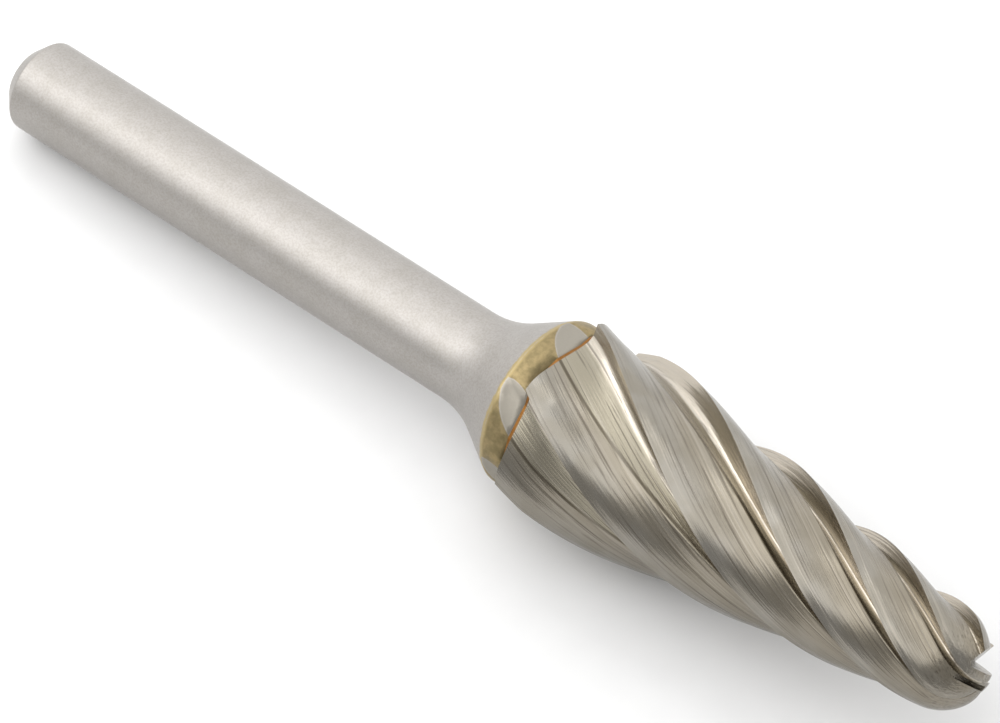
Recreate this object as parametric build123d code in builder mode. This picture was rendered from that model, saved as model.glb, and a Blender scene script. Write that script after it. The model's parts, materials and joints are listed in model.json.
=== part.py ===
"""Carbide burr: a taper-radius-end, wide-flute cutting head brazed to a turned steel shank.

Each piece is made with the tool axis along +Z and the centre of the shank's flat end at the
origin. The finished tool then lies on the plane Z = 0, nose towards +X, as it comes to rest:
on the end of the shank and on two neighbouring teeth, with the middle of its box above the
origin. Lengths are in millimetres and angles in degrees.
"""
from build123d import *
from math import acos, atan2, ceil, cos, degrees, exp, log, pi, radians, sin, sqrt, tan
import os

# Shank, turned in one piece with the flared collar that carries the head
shank_diameter = 6.35
shank_length = 46.7            # flat end to braze face, collar included
shank_end_chamfer = 1.1
shank_end_blend = 0.3          # softened edges of that chamfer
collar_diameter = 11.7
flare_radius = 6.8             # hollow fillet between the shank and the collar
shoulder_radius = 3.4          # rounded shoulder of the collar
collar_land = 1.35             # parallel part of the collar under the head

# Braze that joins the head to the collar
braze_thickness = 0.2

# Head: short parallel part, cone with a 14 degree included angle, ball nose
head_diameter = 13.8
head_length = 34.0
parallel_length = 2.0
taper_half_angle = 7.0

# Flutes: right-hand helix, right-hand cut
tooth_count = 6
helix_angle = 31.5
first_tooth_angle = -91.0      # cutting corner of the first tooth, at the base of the head
flute_entry_length = 18.0      # over this length the flutes reach their full form
runout_length = 4.0            # behind the head, where the grinding wheel leaves the collar
runout_radius = 8.0

# One tooth, from its edge to the next one: a land, a back that falls to the heel, the wall of the
# gullet, its narrow floor, and the front of the next tooth, which rises from the root. The corner
# is where wall and front would meet. Positions are fractions of the tooth pitch behind the edge,
# and heights are fractions of the local radius: first at the base of the head, where the flutes
# are shallow, then at full depth.
land_position = (0.14, 0.25)
land_height = (0.985, 0.985)
heel_position = (0.44, 0.77)
heel_height = (0.85, 0.845)
corner_position = (0.95, 0.992)
corner_height = (0.815, 0.64)
wall_share = (0.8, 0.62)       # part of the way from heel to corner, up to the floor
root_position = (0.985, 0.985)
root_height = (0.86, 0.77)

# Gash and slot that open the nose, on both sides of a straight web across its middle
gash_angle = 95.0              # direction in which the gash runs out of the nose
gash_offset = 0.55             # from the axis to the upright wall of the gash
gash_start = 1.8               # from the axis, on the side where the gash starts
gash_depth = 0.85              # below the tip, where the gash starts
gash_descent = 20.0            # angle at which the gash runs down from there
gash_slope = 22.0              # rise of its floor, away from the upright wall
gash_size = 10.0               # length and width of the cut, more than the nose
slot_offset = 0.4              # from the axis to the middle of the slot, on the other side
slot_start = 0.6
slot_width = 0.35
slot_depth = 1.1
slot_length = 3.6

# How the tool lies
rest_gap = 2                   # gap between teeth that is underneath, counted from the first tooth
rest_turn_step = 0.1           # the tool is turned in these steps until it leans least

# Sections of the lofted head
turn_step = 7.0                # twist from one section to the next
nose_sections = 6
nose_flat_angle = 78.0         # the last section, as an angle up the ball nose
runout_sections = 4

# Derived sizes
tooth_pitch = 360 / tooth_count
shank_radius = shank_diameter / 2
collar_radius = collar_diameter / 2
head_radius = head_diameter / 2
head_base = shank_length + braze_thickness
taper = radians(taper_half_angle)
cone_length = head_length - parallel_length
nose_radius = (head_radius - cone_length * tan(taper)) / (1 / cos(taper) - tan(taper))
nose_centre = head_length - nose_radius
nose_tangent = nose_centre + nose_radius * sin(taper)
flare_slope = acos(1 - (collar_radius - shank_radius) / (flare_radius + shoulder_radius))
shoulder_start = shank_length - collar_land
flare_start = shoulder_start - (flare_radius + shoulder_radius) * sin(flare_slope)
flare_join = (
    shank_radius + flare_radius * (1 - cos(flare_slope)),
    flare_start + flare_radius * sin(flare_slope),
)


def cone_radius(z):
    """Radius of the taper, z above the base of the head, without the ball nose."""
    return head_radius - max(z - parallel_length, 0) * tan(taper)


def blank_radius(z):
    """Radius of the ground blank, with the ball nose."""
    if z > nose_tangent:
        return sqrt(nose_radius ** 2 - (z - nose_centre) ** 2)
    return cone_radius(z)


def helix_turn(z):
    """Degrees that an edge has turned at z, for one helix angle over the whole taper."""
    parallel = min(z, parallel_length) / head_radius
    tapered = log(head_radius / cone_radius(z)) / tan(taper)
    return (parallel + tapered) * tan(radians(helix_angle)) * 180 / pi


def height_at_turn(turn):
    """Height at which an edge has turned that many degrees: helix_turn read the other way."""
    travel = radians(turn) / tan(radians(helix_angle))
    parallel = parallel_length / head_radius
    if travel < parallel:
        return travel * head_radius
    radius = head_radius * exp(-tan(taper) * (travel - parallel))
    return parallel_length + (head_radius - radius) / tan(taper)


def flute_entry(z):
    """How far the flute has reached its full form at z, from 0 at the base to 1."""
    share = min(max(z / flute_entry_length, 0), 1)
    return share * share * (3 - 2 * share)


def grown(pair, z):
    """Value at z of a size that changes from the first to the second as the flute deepens."""
    return pair[0] + (pair[1] - pair[0]) * flute_entry(z)


def tooth_point(z, edge_angle, position, height):
    """Point of one tooth in the section at z; behind the head the wheel lifts away."""
    lift = min(z, 0) ** 2 / (2 * runout_radius)
    radius = grown(height, z) * blank_radius(max(z, 0)) + lift
    angle = radians(edge_angle - grown(position, z) * tooth_pitch)
    return (radius * cos(angle), radius * sin(angle))


def section_lines(z):
    """Draws the closed outline of all the teeth in the section at z."""
    for tooth in range(tooth_count):
        edge_angle = first_tooth_angle + helix_turn(z) - tooth * tooth_pitch
        edge = tooth_point(z, edge_angle, (0, 0), (1, 1))
        land_end = tooth_point(z, edge_angle, land_position, land_height)
        heel = tooth_point(z, edge_angle, heel_position, heel_height)
        corner = tooth_point(z, edge_angle, corner_position, corner_height)
        root = tooth_point(z, edge_angle, root_position, root_height)
        next_edge = tooth_point(z, edge_angle, (1, 1), (1, 1))
        Line(edge, land_end)
        Line(land_end, heel)
        wall = Line(heel, corner, mode=Mode.PRIVATE)
        wall_end = wall @ grown(wall_share, z)
        Line(heel, wall_end)
        Line(wall_end, root)
        Line(root, next_edge)


# Heights of the sections above the base of the head
straight_steps = ceil(helix_turn(nose_tangent) / turn_step)
straight_turn = helix_turn(nose_tangent) / straight_steps
straight_heights = [height_at_turn(step * straight_turn) for step in range(straight_steps + 1)]
nose_step = (nose_flat_angle - taper_half_angle) / nose_sections
nose_angles = [taper_half_angle + step * nose_step for step in range(1, nose_sections + 1)]
nose_heights = [nose_centre + nose_radius * sin(radians(angle)) for angle in nose_angles]
runout_step = runout_length / runout_sections
runout_heights = [step * runout_step - runout_length for step in range(runout_sections + 1)]

# Gash of the nose, a wedge with one upright wall, running out towards +X
gash_plane = Plane(
    origin=(-gash_start, gash_offset, head_base + head_length - gash_depth),
    x_dir=(0, 1, 0),
    z_dir=(cos(radians(gash_descent)), 0, -sin(radians(gash_descent))),
)
gash_rise = (gash_size * cos(radians(gash_slope)), gash_size * sin(radians(gash_slope)))
with BuildPart() as nose_gash:
    with BuildSketch(gash_plane):
        with BuildLine():
            Polyline((0, 0), gash_rise, (0, gash_size), close=True)
        make_face()
    extrude(amount=gash_size)

# Slot of the nose, running out towards +X
with BuildPart() as nose_slot:
    with Locations((slot_length / 2 - slot_start, slot_offset, head_base + head_length)):
        Box(slot_length, slot_width, 2 * slot_depth)

# Carbide head: one twisted loft from the base to the tip, less the gash and slot of the nose
with BuildPart() as carbide_head:
    for z in straight_heights + nose_heights:
        with BuildSketch(Plane.XY.offset(head_base + z)):
            with BuildLine():
                section_lines(z)
            make_face()
    loft()
    add(nose_gash.part, rotation=(0, 0, gash_angle), mode=Mode.SUBTRACT)
    add(nose_slot.part, rotation=(0, 0, gash_angle + 180), mode=Mode.SUBTRACT)

# What the grinding wheel takes away behind the head, as it leaves each flute
with BuildPart() as flute_runout:
    with BuildSketch(Plane.XY.offset(head_base - runout_length)):
        Circle(head_diameter)
    extrude(amount=runout_length)
    for z in runout_heights:
        with BuildSketch(Plane.XY.offset(head_base + z)):
            with BuildLine():
                section_lines(z)
            make_face()
    loft(mode=Mode.SUBTRACT)

# Braze joint: a thin disc, ground away with the flutes
with BuildPart() as braze_joint:
    with BuildSketch(Plane.XY.offset(shank_length)):
        Circle(collar_radius)
    extrude(amount=braze_thickness)
    add(flute_runout.part, mode=Mode.SUBTRACT)

# Steel shank: turned profile with its flare and collar, which the flutes run out into
with BuildPart() as steel_shank:
    with BuildSketch(Plane.XZ):
        with BuildLine():
            FilletPolyline(
                (0, 0),
                (shank_radius - shank_end_chamfer, 0),
                (shank_radius, shank_end_chamfer),
                (shank_radius, flare_start),
                radius=shank_end_blend,
            )
            RadiusArc((shank_radius, flare_start), flare_join, flare_radius)
            RadiusArc(flare_join, (collar_radius, shoulder_start), -shoulder_radius)
            Polyline(
                (collar_radius, shoulder_start),
                (collar_radius, shank_length),
                (0, shank_length),
                (0, 0),
            )
        make_face()
    revolve(axis=Axis.Z)
    add(flute_runout.part, mode=Mode.SUBTRACT)


def lean(turn):
    """Tilt of the tool on its shank end and its collar or teeth, with direction turn underneath."""
    rises = [atan2(collar_radius - shank_radius, shoulder_start - shank_end_chamfer)]
    for z in rest_heights:
        for tooth in range(tooth_count):
            edge_angle = first_tooth_angle + helix_turn(z) - tooth * tooth_pitch
            edge = tooth_point(z, edge_angle, (0, 0), (1, 1))
            land_end = tooth_point(z, edge_angle, land_position, land_height)
            for x, y in (edge, land_end):
                reach = x * cos(radians(turn)) + y * sin(radians(turn))
                rises.append(atan2(reach - shank_radius, head_base + z - shank_end_chamfer))
    return degrees(max(rises))


# The tool comes to rest where it leans least: its underside is turned down, then it is laid over
rest_heights = [height_at_turn(turn) for turn in range(round(tooth_pitch))]
gap_angle = first_tooth_angle + rest_gap * tooth_pitch
turn_count = round(tooth_pitch / rest_turn_step)
rest_turn = min((gap_angle + step * rest_turn_step for step in range(turn_count)), key=lean)
laid_down = Rot(Y=90 - lean(rest_turn)) * Rot(Z=-rest_turn)
for tool_piece in (steel_shank, braze_joint, carbide_head):
    tool_piece.part.move(laid_down)
tool_box = Compound([steel_shank.part, braze_joint.part, carbide_head.part]).bounding_box()
centred = Pos(-tool_box.center().X, -tool_box.center().Y, -tool_box.min.Z)
for tool_piece in (steel_shank, braze_joint, carbide_head):
    tool_piece.part.move(centred)

os.makedirs("parts", exist_ok=True)
steel_shank.part.label = "steel_shank"
export_step(steel_shank.part, "parts/steel_shank.step")
braze_joint.part.label = "braze_joint"
export_step(braze_joint.part, "parts/braze_joint.step")
carbide_head.part.label = "carbide_head"
export_step(carbide_head.part, "parts/carbide_head.step")
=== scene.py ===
"""Looks of the carbide burr: ground carbide head, braze joint and turned steel shank.

The burr lies on a pale table, on the end of its shank and two of its teeth. Its own sizes are in
millimetres, along its own axes. The table, the lights and the camera are placed in metres.
"""

import json
import math

import bmesh
import bpy
import numpy as np
from mathutils import Matrix, Vector


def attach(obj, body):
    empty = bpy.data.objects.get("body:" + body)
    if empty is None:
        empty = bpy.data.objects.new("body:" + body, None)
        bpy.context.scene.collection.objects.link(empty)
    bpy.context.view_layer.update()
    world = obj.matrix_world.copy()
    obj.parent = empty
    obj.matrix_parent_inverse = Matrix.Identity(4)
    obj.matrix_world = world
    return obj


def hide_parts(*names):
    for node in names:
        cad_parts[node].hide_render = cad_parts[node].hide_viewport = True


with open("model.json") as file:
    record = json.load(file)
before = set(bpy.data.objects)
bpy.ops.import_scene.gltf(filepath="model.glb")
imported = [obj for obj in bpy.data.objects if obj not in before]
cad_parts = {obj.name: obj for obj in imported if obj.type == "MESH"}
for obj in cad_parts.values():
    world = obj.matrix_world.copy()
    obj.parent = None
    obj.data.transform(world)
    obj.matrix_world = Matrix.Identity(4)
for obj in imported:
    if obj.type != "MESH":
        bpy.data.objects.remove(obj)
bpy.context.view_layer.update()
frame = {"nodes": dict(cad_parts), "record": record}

MM = 0.001

# ---------------------------------------------------------------- the tool's own axes
# Tool axes: +Z from the flat end of the shank to the nose
mounts = {mount["name"]: mount for mount in frame["record"]["mounts"]}
shank_end = Vector(mounts["shank_end"]["pos_m"])
tool_axis = -Vector(mounts["shank_end"]["axis"]).normalized()
rest_turn = math.radians(59.5)          # direction of the tool that lies underneath
rest_tilt = math.asin(tool_axis.z)
laid_down = (
    Matrix.Rotation(math.radians(90) - rest_tilt, 3, "Y")
    @ Matrix.Rotation(-rest_turn, 3, "Z")
)
# From the tool axes in millimetres to its place on the table in metres
placing = Matrix.Translation(shank_end) @ laid_down.to_4x4() @ Matrix.Diagonal((MM, MM, MM, 1))

# ---------------------------------------------------------------- sizes in millimetres
# Shank and collar, with places along the axis from the flat end of the shank
shank_radius = 3.175
collar_radius = 5.85
flare_radius = 6.8
shoulder_radius = 3.4
shoulder_start = 45.35
rim_slope = math.radians(31)            # of the flare, where it runs up straight to the rim
rim_rounding = 0.12
flare_slope = math.acos(1 - (collar_radius - shank_radius) / (flare_radius + shoulder_radius))
flare_start = shoulder_start - (flare_radius + shoulder_radius) * math.sin(flare_slope)
straight_start = flare_start + flare_radius * math.sin(rim_slope)
straight_rise = collar_radius - shank_radius - flare_radius * (1 - math.cos(rim_slope))
rim = straight_start + straight_rise / math.tan(rim_slope)

# Head, with places along the axis from its base
head_base = 46.9                        # from the flat end of the shank
head_radius = 6.9
head_length = 34.0
parallel_length = 2.0
taper = math.radians(7)
helix_angle = math.radians(31.5)
cone_length = head_length - parallel_length
nose_radius = (head_radius - cone_length * math.tan(taper)) / (
    1 / math.cos(taper) - math.tan(taper)
)
nose_centre = head_length - nose_radius
nose_tangent = nose_centre + nose_radius * math.sin(taper)

# One tooth, from its edge to the next one, at the base of the head and at full depth. Places are
# shares of the tooth pitch behind the edge, and heights are shares of the local radius.
tooth_count = 6
tooth_pitch = math.radians(60)
first_tooth_angle = math.radians(-91)
flute_entry_length = 18.0
this_edge = ((0, 1), (0, 1))
land_end = ((0.14, 0.985), (0.25, 0.985))
heel = ((0.44, 0.85), (0.77, 0.845))
corner = ((0.95, 0.815), (0.992, 0.64))
root = ((0.987, 0.88), (0.987, 0.83))
next_edge = ((1, 1), (1, 1))
wall_share = (0.6, 0.35)                # straight part of the gullet, from its heel to its bend
land_bend_share = 0.6                   # of the land, taken by its soft bend into the back
back_bend_share = 0.45                  # of the back, taken by the same bend
back_bend_most = 0.9
heel_bend_share = 0.12                  # of the back, taken by the small rounding of the heel
heel_bend_most = 0.12
edge_hone = 0.012

# Gash and slot that open the nose, on both sides of a straight web across its middle
gash_angle = math.radians(95)
gash_offset = 0.55
gash_start = 1.8
gash_depth = 0.85
gash_descent = math.radians(20)
gash_slope = math.radians(22)
gash_size = 10.0
slot_offset = 0.4
slot_start = 0.6
slot_width = 0.35
slot_depth = 1.1
slot_length = 3.6

# Fineness of the meshes
taper_sections = 150
nose_sections = 30
nose_flat_angle = math.radians(78)      # of the last section, up the ball nose
land_points = 10
heel_points = 5
gullet_points = 11
straight_points = 5
head_crease = math.radians(28)          # flatter edges are shaded smooth
shank_crease = math.radians(24)
same_place = 0.0005                     # vertices nearer than this are one


# ---------------------------------------------------------------- table, lights and camera
def make_table():
    """The plain pale table that the burr lies on."""
    bpy.ops.mesh.primitive_plane_add(size=4, location=(0, 0, 0))
    table = bpy.context.object
    table.name = "table_top"
    return table


def make_softbox(name, direction, distance, size, radiance):
    """One square softbox, which lights the burr and shows in it, but not in the picture."""
    lamp = bpy.data.lights.new(name, "AREA")
    lamp.shape = "SQUARE"
    lamp.size = size
    lamp.energy = radiance * math.pi * size * size
    holder = bpy.data.objects.new(name, lamp)
    holder.location = Vector(direction).normalized() * distance
    holder.rotation_euler = Vector(direction).to_track_quat("Z", "Y").to_euler()
    holder.visible_camera = False
    bpy.context.scene.collection.objects.link(holder)


def make_room(radiance):
    """The dim room around the table."""
    world = bpy.data.worlds.new("room")
    world.use_nodes = True
    background = world.node_tree.nodes["Background"]
    background.inputs["Color"].default_value = (1, 1, 1, 1)
    background.inputs["Strength"].default_value = radiance
    bpy.context.scene.world = world


# The camera looks down on the burr from beyond its nose
view_tilt = math.radians(27.78)         # of the tool axis, towards the camera
view_roll = math.radians(32.5)          # of the tool axis in the picture, below the horizontal
view_yaw = math.radians(0.16)
picture_size = (1000, 723)
pixels_per_mm = 15.85                   # at the base of the head
growth_per_pixel = 6.3e-5               # share that the scale gains along the tool axis
focal_pixels = math.tan(view_tilt) / growth_per_pixel
head_base_pixels = (702.94, -47.93)     # its place in the picture, along and across the tool axis


def make_camera():
    """The camera, from how the tool axis lies in the picture and where the head's base is."""
    facing = laid_down @ Vector((0, -1, 0))
    sideways = laid_down @ Vector((-1, 0, 0))
    ahead = tool_axis * math.cos(view_tilt) - facing * math.sin(view_tilt)
    back = tool_axis * math.sin(view_tilt) + facing * math.cos(view_tilt)
    along = ahead * math.cos(view_yaw) - sideways * math.sin(view_yaw)
    across = ahead * math.sin(view_yaw) + sideways * math.cos(view_yaw)
    right = along * math.cos(view_roll) + across * math.sin(view_roll)
    up = -along * math.sin(view_roll) + across * math.cos(view_roll)
    middle = Vector(picture_size) / 2
    middle_along = middle.x * math.cos(view_roll) + middle.y * math.sin(view_roll)
    middle_across = middle.x * math.sin(view_roll) - middle.y * math.cos(view_roll)
    place = shank_end + tool_axis * head_base * MM
    place += back * focal_pixels / pixels_per_mm * MM
    place -= along * (head_base_pixels[0] - middle_along) / pixels_per_mm * MM
    place -= across * (head_base_pixels[1] - middle_across) / pixels_per_mm * MM
    camera = bpy.data.cameras.new("camera")
    camera.sensor_width = 36
    camera.lens = focal_pixels / picture_size[0] * camera.sensor_width
    camera.clip_start = 0.01
    camera.clip_end = 20
    holder = bpy.data.objects.new("camera", camera)
    turned = Matrix((right, up, back)).transposed().to_4x4()
    holder.matrix_world = Matrix.Translation(place) @ turned
    bpy.context.scene.collection.objects.link(holder)
    bpy.context.scene.camera = holder


# ---------------------------------------------------------------- the carbide head
def entry(h):
    """How far the flutes have reached their full form, h above the base of the head."""
    share = min(max(h / flute_entry_length, 0), 1)
    return share * share * (3 - 2 * share)


def cone(h):
    """Radius of the taper, without the ball nose."""
    return head_radius - max(h - parallel_length, 0) * math.tan(taper)


def blank(h):
    """Radius of the ground blank, with its ball nose."""
    if h > nose_tangent:
        return math.sqrt(nose_radius**2 - (h - nose_centre) ** 2)
    return cone(h)


def helix_turn(h):
    """How far an edge has turned, for one helix angle over the whole taper."""
    parallel = min(h, parallel_length) / head_radius
    return (parallel + math.log(head_radius / cone(h)) / math.tan(taper)) * math.tan(helix_angle)


def rounded(start, middle, end, count):
    """Points on the arc that rounds a corner, ends included."""
    t = np.linspace(0, 1, count)[:, None]
    return start * (1 - t) ** 2 + middle * 2 * t * (1 - t) + end * t**2


def straight(start, end):
    """Points inside the straight line between two arcs."""
    return np.linspace(start, end, straight_points)[1:-1]


def towards(start, end, distance):
    """The point at a distance from the start of a line."""
    return start + (end - start) * distance / np.linalg.norm(end - start)


def tooth_corner(ends, h, edge_angle):
    """Where a corner of the tooth is at h, between its places at the base and at full depth."""
    deep = entry(h)
    place, height = np.array(ends[0]) * (1 - deep) + np.array(ends[1]) * deep
    angle = edge_angle - place * tooth_pitch
    return np.array((math.cos(angle), math.sin(angle))) * height * blank(h)


def tooth_profile(h, edge_angle):
    """Outline of one tooth at h, from its edge to just before the next one, as x and y."""
    corners = (this_edge, land_end, heel, corner, root, next_edge)
    edge, land, back, foot, rise, following = (tooth_corner(c, h, edge_angle) for c in corners)
    deep = entry(h)
    wall_end = back + (foot - back) * (wall_share[0] * (1 - deep) + wall_share[1] * deep)
    land_length = np.linalg.norm(edge - land)
    back_length = np.linalg.norm(back - land)
    bend_start = towards(land, edge, land_bend_share * land_length)
    bend_end = towards(land, back, min(back_bend_share * back_length, back_bend_most))
    heel_bend = min(heel_bend_share * back_length, heel_bend_most)
    heel_start = towards(back, land, heel_bend)
    heel_end = towards(back, foot, heel_bend)
    last = towards(following, rise, edge_hone)
    return np.vstack(
        [
            towards(edge, land, edge_hone),
            rounded(bend_start, land, bend_end, land_points),
            straight(bend_end, heel_start),
            rounded(heel_start, back, heel_end, heel_points),
            straight(heel_end, wall_end),
            rounded(wall_end, foot, rise, gullet_points),
            straight(rise, last),
            last,
        ]
    )


def new_piece(name, shape):
    """A new object from a finished bmesh, as the only one that is selected."""
    mesh = bpy.data.meshes.new(name)
    shape.to_mesh(mesh)
    shape.free()
    piece = bpy.data.objects.new(name, mesh)
    bpy.context.scene.collection.objects.link(piece)
    bpy.ops.object.select_all(action="DESELECT")
    piece.select_set(True)
    bpy.context.view_layer.objects.active = piece
    return piece


def cutter(name, corners, run, direction):
    """A prism that cuts the nose, from its outline, its length and its turn about the axis."""
    count = len(corners)
    points = [tuple(corner) for corner in corners] + [tuple(corner + run) for corner in corners]
    faces = [list(range(count))[::-1], list(range(count, 2 * count))]
    faces += [[i, (i + 1) % count, (i + 1) % count + count, i + count] for i in range(count)]
    mesh = bpy.data.meshes.new(name)
    mesh.from_pydata(points, [], faces)
    mesh.transform(Matrix.Rotation(direction, 4, "Z"))
    cut = bpy.data.objects.new(name, mesh)
    bpy.context.scene.collection.objects.link(cut)
    return cut


def nose_cutters():
    """The gash, a wedge with one upright wall, and the slot."""
    tip = head_base + head_length
    start = Vector((-gash_start, gash_offset, tip - gash_depth))
    side = Vector((0, 1, 0))
    up = Vector((math.sin(gash_descent), 0, math.cos(gash_descent)))
    run = Vector((math.cos(gash_descent), 0, -math.sin(gash_descent))) * gash_size
    rise = (side * math.cos(gash_slope) + up * math.sin(gash_slope)) * gash_size
    wedge = [start, start + rise, start + up * gash_size]
    near = slot_offset - slot_width / 2
    far = slot_offset + slot_width / 2
    low = tip - slot_depth
    high = tip + slot_depth
    outline = ((near, low), (far, low), (far, high), (near, high))
    box = [Vector((-slot_start, y, z)) for y, z in outline]
    gash = cutter("gash_cutter", wedge, run, gash_angle)
    slot = cutter("slot_cutter", box, Vector((slot_length, 0, 0)), gash_angle + math.pi)
    return gash, slot


def make_head():
    """The fluted head: sections of six teeth, turned along the helix and closed at both ends."""
    heights = list(np.linspace(0, nose_tangent, taper_sections))
    nose_angles = np.linspace(taper, nose_flat_angle, nose_sections + 1)[1:]
    heights += [nose_centre + nose_radius * math.sin(angle) for angle in nose_angles]
    shape = bmesh.new()
    rings = []
    for h in heights:
        edge_angle = first_tooth_angle + helix_turn(h)
        teeth = [tooth_profile(h, edge_angle - n * tooth_pitch) for n in range(tooth_count)]
        rings.append([shape.verts.new((x, y, head_base + h)) for x, y in np.vstack(teeth)])
    count = len(rings[0])
    for low, high in zip(rings, rings[1:]):
        for i in range(count):
            j = (i + 1) % count
            shape.faces.new((low[i], high[i], high[j], low[j]))
    shape.faces.new(rings[0])
    shape.faces.new(rings[-1][::-1])
    head = new_piece("fluted_head", shape)
    for cut in nose_cutters():
        modifier = head.modifiers.new("cut", "BOOLEAN")
        modifier.object = cut
        modifier.operation = "DIFFERENCE"
        modifier.solver = "EXACT"
        bpy.ops.object.modifier_apply(modifier=modifier.name)
        bpy.data.objects.remove(cut)
    # Faces with five corners or more become triangles, which keeps the exported mesh closed
    triangulate = head.modifiers.new("triangulate", "TRIANGULATE")
    triangulate.min_vertices = 5
    bpy.ops.object.modifier_apply(modifier=triangulate.name)
    head.data.transform(placing)
    bpy.ops.object.shade_smooth_by_angle(angle=head_crease)
    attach(head, "root")
    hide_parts("carbide_head")
    return head


# ---------------------------------------------------------------- the steel shank
def blended_radius(z):
    """Turned radius of the CAD shank: a hollow flare that blends into a round shoulder."""
    if z < flare_start + flare_radius * math.sin(flare_slope):
        return shank_radius + flare_radius - math.sqrt(flare_radius**2 - (z - flare_start) ** 2)
    drop = shoulder_start - z
    return collar_radius - shoulder_radius + math.sqrt(shoulder_radius**2 - drop**2)


def rimmed_radius(z):
    """The same with a straight end of the flare, which gives the collar a crisp rim."""
    if z < straight_start:
        return blended_radius(z)
    slope = collar_radius + (z - rim) * math.tan(rim_slope)
    share = min(max(0.5 + (slope - collar_radius) / (2 * rim_rounding), 0), 1)
    rounding = rim_rounding * share * (1 - share)
    return slope + share * (collar_radius - slope) - rounding


def make_shank():
    """The turned shank: a copy of the CAD node's mesh, with the rim of its collar drawn crisply."""
    node = frame["nodes"]["steel_shank"]
    shape = bmesh.new()
    shape.from_mesh(node.data)
    shape.transform(placing.inverted() @ node.matrix_world)
    bmesh.ops.remove_doubles(shape, verts=shape.verts, dist=same_place)
    for vertex in shape.verts:
        z = vertex.co.z
        if flare_start < z < shoulder_start:
            vertex.co.xy *= rimmed_radius(z) / blended_radius(z)
    shank = new_piece("turned_shank", shape)
    shank.data.transform(placing)
    bpy.ops.object.shade_smooth_by_angle(angle=shank_crease)
    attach(shank, "root")
    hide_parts("steel_shank")
    return shank


# ---------------------------------------------------------------- what the materials share
def linear(hex_colour):
    """Colour of an sRGB hex value, such as "#DEDCDA", as linear light."""
    values = [int(hex_colour[i : i + 2], 16) / 255 for i in (1, 3, 5)]
    return [v / 12.92 if v <= 0.04045 else ((v + 0.055) / 1.055) ** 2.4 for v in values] + [1.0]


def add_node(tree, kind, *sources, **settings):
    """Adds a node with its settings. Its sources, in the order of the inputs that are in use, are
    values, hex colours, nodes or outputs of nodes, and None leaves an input as it is."""
    node = tree.nodes.new("ShaderNode" + kind)
    for name, value in settings.items():
        setattr(node, name, value)
    inputs = [socket for socket in node.inputs if socket.enabled]
    for socket, source in zip(inputs, sources):
        if isinstance(source, bpy.types.Node):
            source = next(output for output in source.outputs if output.enabled)
        if isinstance(source, bpy.types.NodeSocket):
            tree.links.new(source, socket)
        elif isinstance(source, str):
            socket.default_value = linear(source)
        elif source is not None:
            socket.default_value = source
    return node


def lay_over(tree, under, over, *fades):
    """Lays one colour over another. A fade is a value, where it starts and ends, and how much of
    the upper colour there is on either side of it. Several fades are multiplied."""
    share = None
    for fade in fades:
        part = add_node(tree, "MapRange", *fade, interpolation_type="SMOOTHSTEP")
        share = part if share is None else add_node(tree, "Math", share, part, operation="MULTIPLY")
    return add_node(tree, "Mix", share, under, over, data_type="RGBA")


def new_material(name):
    """An empty material and its node tree."""
    material = bpy.data.materials.new(name)
    material.use_nodes = True
    material.node_tree.nodes.clear()
    return material, material.node_tree


def surface(tree, colour, metallic, roughness, normal=None):
    """Ends a material with its one shader."""
    shader = add_node(tree, "BsdfPrincipled", colour, metallic, roughness, None, None, normal)
    add_node(tree, "OutputMaterial", shader)


def tool_coordinates(tree):
    """Object coordinates, turned and moved into the tool axes, in millimetres."""
    coordinates = add_node(tree, "TexCoord").outputs["Object"]
    turn = laid_down.to_euler()
    scale = (MM, MM, MM)
    return add_node(
        tree, "Mapping", coordinates, shank_end, turn, scale, vector_type="TEXTURE"
    )


def tool_radius(tree, x, y):
    """Distance from the tool axis."""
    square = add_node(tree, "Math", y, y, operation="MULTIPLY")
    square = add_node(tree, "Math", x, x, square, operation="MULTIPLY_ADD")
    return add_node(tree, "Math", square, operation="SQRT")


def wear(piece, material):
    """Gives a piece its only material."""
    piece.data.materials.clear()
    piece.data.materials.append(material)


# ---------------------------------------------------------------- materials
def table_laminate():
    """Matt white laminate: pale all over, with a speckle that is hardly seen."""
    material, tree = new_material("matt_white_laminate")
    speckle_width = 2.5
    coordinates = add_node(tree, "TexCoord").outputs["Object"]
    speckle = add_node(tree, "TexNoise", coordinates, 1 / (speckle_width * MM))
    colour = add_node(tree, "Mix", speckle, "#E8E8E8", "#ECECEC", data_type="RGBA")
    surface(tree, colour, metallic=0.0, roughness=0.8)
    return material


def collar_depth(tree, x, y, z):
    """How deep a point lies under the turned collar and the straight end of its flare."""
    drop = add_node(tree, "Math", rim, z, operation="SUBTRACT")
    drop = add_node(tree, "Math", drop, 0.0, operation="MAXIMUM")
    fall = add_node(tree, "Math", drop, math.tan(rim_slope), operation="MULTIPLY")
    turned = add_node(tree, "Math", collar_radius, fall, operation="SUBTRACT")
    return add_node(tree, "Math", turned, tool_radius(tree, x, y), operation="SUBTRACT")


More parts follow.
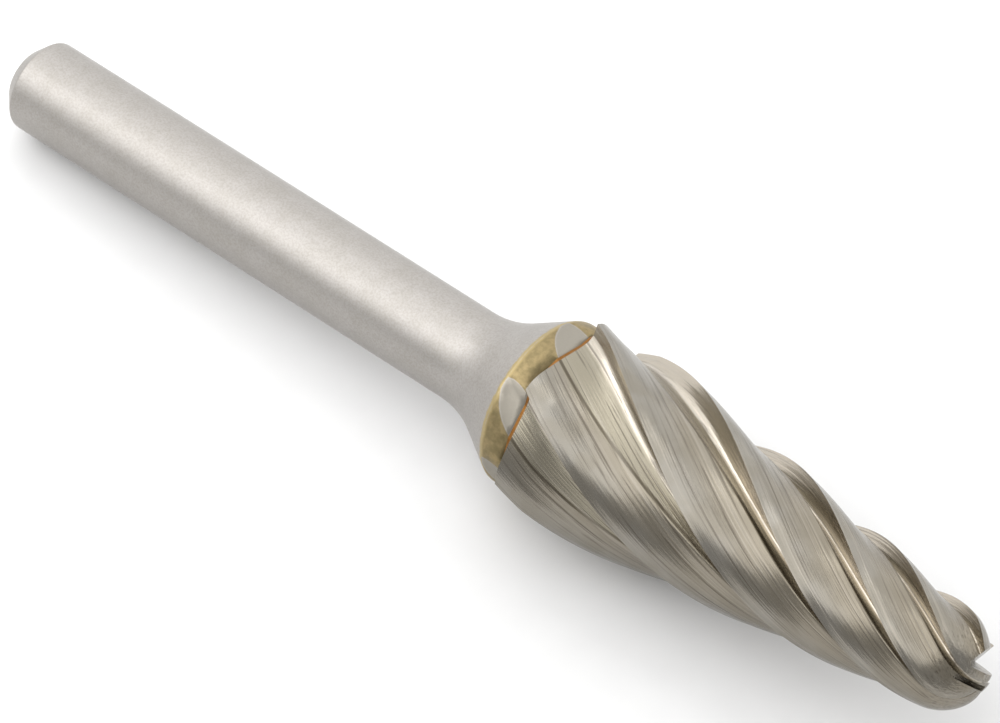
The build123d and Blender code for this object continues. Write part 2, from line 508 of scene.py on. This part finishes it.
def satin_steel():
    """Turned steel, finely blasted, which makes it a soft, warm grey without sharp reflections.
    A golden film covers the collar next to the braze."""
    material, tree = new_material("blasted_satin_steel")
    grain_width = 1 / 7                 # coarser than the real grain, which would not show
    grain_depth = 0.02
    cloud_width = 10 / 7
    mottle_width = 0.625
    border_wander = 0.5
    tool = tool_coordinates(tree)
    x, y, z = add_node(tree, "SeparateXYZ", tool).outputs
    grain = add_node(tree, "TexNoise", tool, 1 / grain_width, 3.0, 0.6)
    cloud = add_node(tree, "TexNoise", tool, 1 / cloud_width, 4.0, 0.6)
    steel = lay_over(tree, "#A4A09B", "#A9A5A1", (cloud, 0.3, 0.7))
    steel = lay_over(tree, steel, "#86827B", (grain, 0.35, 0.7, 0.0, 0.3))
    # The film is mottled, with a brighter border that wanders
    mottle = add_node(tree, "TexNoise", tool, 1 / mottle_width, 4.0, 0.6)
    along = add_node(tree, "Math", mottle, border_wander, z, operation="MULTIPLY_ADD")
    film = lay_over(tree, "#7A6E50", "#958562", (mottle, 0.3, 0.7))
    film = lay_over(tree, film, "#A8976D", (along, head_base - 1.6, head_base - 1.9))
    # Where the flutes were ground into the collar, the steel is bare
    depth = collar_depth(tree, x, y, z)
    on_collar = (along, head_base - 2.2, head_base - 1.95)
    unground = (depth, 0.02, 0.06, 1.0, 0.0)
    steel = lay_over(tree, steel, film, on_collar, unground)
    ground = (depth, 0.03, 0.08)
    near_rim = (z, rim - 0.6, rim - 0.5)
    steel = lay_over(tree, steel, "#928D83", ground, near_rim)
    roughness = add_node(
        tree, "MapRange", grain, 0.2, 0.8, 0.4, 0.47, interpolation_type="SMOOTHSTEP"
    )
    uneven = add_node(tree, "Bump", 0.3, grain_depth * MM, None, grain)
    surface(tree, steel, metallic=1.0, roughness=roughness, normal=uneven)
    return material


def copper_braze():
    """Copper-based braze, ground with the flutes: a thin line of spotted reddish brown."""
    material, tree = new_material("copper_braze")
    spot_width = 0.25
    tool = tool_coordinates(tree)
    spots = add_node(tree, "TexNoise", tool, 1 / spot_width, 3.0)
    colour = add_node(tree, "Mix", spots, "#6E4722", "#8E6638", data_type="RGBA")
    surface(tree, colour, metallic=1.0, roughness=0.35)
    return material


def cone_radius(tree, height):
    """Radius of the taper, as cone gives it."""
    beyond = add_node(tree, "Math", height, parallel_length, operation="SUBTRACT")
    beyond = add_node(tree, "Math", beyond, 0.0, operation="MAXIMUM")
    return add_node(
        tree, "Math", beyond, -math.tan(taper), head_radius, operation="MULTIPLY_ADD"
    )


def place_on_tooth(tree, x, y, height, blank_radius):
    """Share of the tooth pitch behind the edge, from the turn that helix_turn gives."""
    parallel = add_node(tree, "Math", height, parallel_length, operation="MINIMUM")
    parallel = add_node(tree, "Math", parallel, head_radius, operation="DIVIDE")
    tapered = add_node(tree, "Math", head_radius, blank_radius, operation="DIVIDE")
    tapered = add_node(tree, "Math", tapered, math.e, operation="LOGARITHM")
    tapered = add_node(tree, "Math", tapered, math.tan(taper), operation="DIVIDE")
    turn = add_node(tree, "Math", parallel, tapered, operation="ADD")
    turn = add_node(tree, "Math", turn, math.tan(helix_angle), operation="MULTIPLY")
    angle = add_node(tree, "Math", y, x, operation="ARCTAN2")
    behind = add_node(tree, "Math", turn, angle, operation="SUBTRACT")
    behind = add_node(tree, "Math", behind, first_tooth_angle, operation="ADD")
    pitches = add_node(tree, "Math", behind, tooth_pitch, operation="DIVIDE")
    # Two whole turns more, so that the number is never negative
    pitches = add_node(tree, "Math", pitches, 2 * tooth_count, operation="ADD")
    return add_node(tree, "Math", pitches, operation="FRACT")


def along_entry(tree, height, at_base, at_full_depth):
    """A value that changes as the flutes get deeper, as entry does."""
    return add_node(
        tree,
        "MapRange",
        height,
        0.0,
        flute_entry_length,
        at_base,
        at_full_depth,
        interpolation_type="SMOOTHSTEP",
    )


def ground_carbide():
    """Cemented carbide, ground along the flutes with a diamond wheel. It is a warm grey that
    shines, with fine lines and broader streaks along every flute."""
    material, tree = new_material("flute_ground_carbide")
    line_width = 2 / 9                  # coarser than the real lines, which would not show
    line_depth = 0.02
    streak_width = 0.625
    streak_depth = 0.04
    cloud_width = 2.0
    stretch = 50                        # length of the lines and streaks, in widths
    tool = tool_coordinates(tree)
    x, y, z = add_node(tree, "SeparateXYZ", tool).outputs
    height = add_node(tree, "Math", z, head_base, operation="SUBTRACT")
    blank_radius = cone_radius(tree, height)
    place = place_on_tooth(tree, x, y, height, blank_radius)
    share = add_node(tree, "Math", tool_radius(tree, x, y), blank_radius, operation="DIVIDE")
    # Patterns that follow the flutes
    across = add_node(tree, "Math", place, tooth_pitch * head_radius, operation="MULTIPLY")
    inwards = add_node(tree, "Math", share, head_radius, operation="MULTIPLY")
    along = add_node(tree, "Math", height, 1 / stretch, operation="MULTIPLY")
    flute = add_node(tree, "CombineXYZ", across, inwards, along)
    lines = add_node(tree, "TexNoise", flute, 1 / line_width, 4.0, 0.65)
    streaks = add_node(tree, "TexNoise", flute, 1 / streak_width, 3.0, 0.55)
    clouds = add_node(tree, "TexNoise", tool, 1 / cloud_width)
    # Land and back, with browner clouds
    colour = lay_over(tree, "#8A867E", "#898275", (place, 0.1, 0.6))
    colour = lay_over(tree, colour, "#7A7365", (clouds, 0.35, 0.65, 0.0, 0.35))
    # Gullet, with a painted dark reflection in a strip along its heel, a lighter cutting face and a
    # painted highlight along its bend
    heel_place = along_entry(tree, height, heel[0][0], heel[1][0])
    past_heel = add_node(tree, "Math", place, heel_place, operation="SUBTRACT")
    colour = lay_over(tree, colour, "#908A7B", (past_heel, -0.01, 0.02))
    # The strip along the heel is painted shade: a dark reflection painted onto the gullet wall
    painted_reflection_start = (past_heel, 0.0, 0.02)
    painted_reflection_end = (past_heel, 0.035, 0.06, 0.85, 0.0)
    colour = lay_over(tree, colour, "#4E473B", painted_reflection_start, painted_reflection_end)
    colour = lay_over(tree, colour, "#B0A89B", (place, 0.93, 0.96))
    # The bright bend is a painted highlight: a cream band painted where the gullet's bend catches
    # the light
    bend_share = along_entry(tree, height, 0.86, 0.775)
    above_bend = add_node(tree, "Math", share, bend_share, operation="SUBTRACT")
    highlight_near_edge = (place, 0.86, 0.92)
    highlight_in_bend = (above_bend, -0.01, 0.02, 1.0, 0.0)
    colour = lay_over(tree, colour, "#C0B8AB", highlight_near_edge, highlight_in_bend)
    # Dark lines, fainter behind the cutting edge, and light streaks
    dark_lines = (lines, 0.38, 0.47, 0.6, 0.0)
    behind_edge = (place, 0.05, 0.35, 0.3, 1.0)
    colour = lay_over(tree, colour, "#504940", dark_lines, behind_edge)
    colour = lay_over(tree, colour, "#A8A297", (streaks, 0.5, 0.72, 0.0, 0.4))
    roughness = add_node(
        tree, "MapRange", lines, 0.3, 0.7, 0.28, 0.2, interpolation_type="SMOOTHSTEP"
    )
    uneven = add_node(tree, "Bump", 1.0, streak_depth * MM, None, streaks)
    uneven = add_node(tree, "Bump", 1.0, line_depth * MM, None, lines, uneven)
    surface(tree, colour, metallic=1.0, roughness=roughness, normal=uneven)
    return material


# ---------------------------------------------------------------- the scene
wear(make_table(), table_laminate())
wear(make_shank(), satin_steel())
wear(frame["nodes"]["braze_joint"], copper_braze())
wear(make_head(), ground_carbide())
make_camera()
make_softbox("main_softbox", direction=(-0.35, -0.24, 0.87), distance=0.8, size=1.1, radiance=1.5)
make_softbox("side_softbox", direction=(-0.66, -0.52, 0.55), distance=0.8, size=0.62, radiance=1.05)
make_softbox("back_softbox", direction=(-0.1, 0.9, 0.5), distance=1.0, size=2.0, radiance=1.0)
make_softbox("end_softbox", direction=(-1.0, 0.15, 0.28), distance=0.9, size=0.9, radiance=0.85)
make_room(radiance=0.56)
bpy.context.scene.view_settings.view_transform = "Standard"
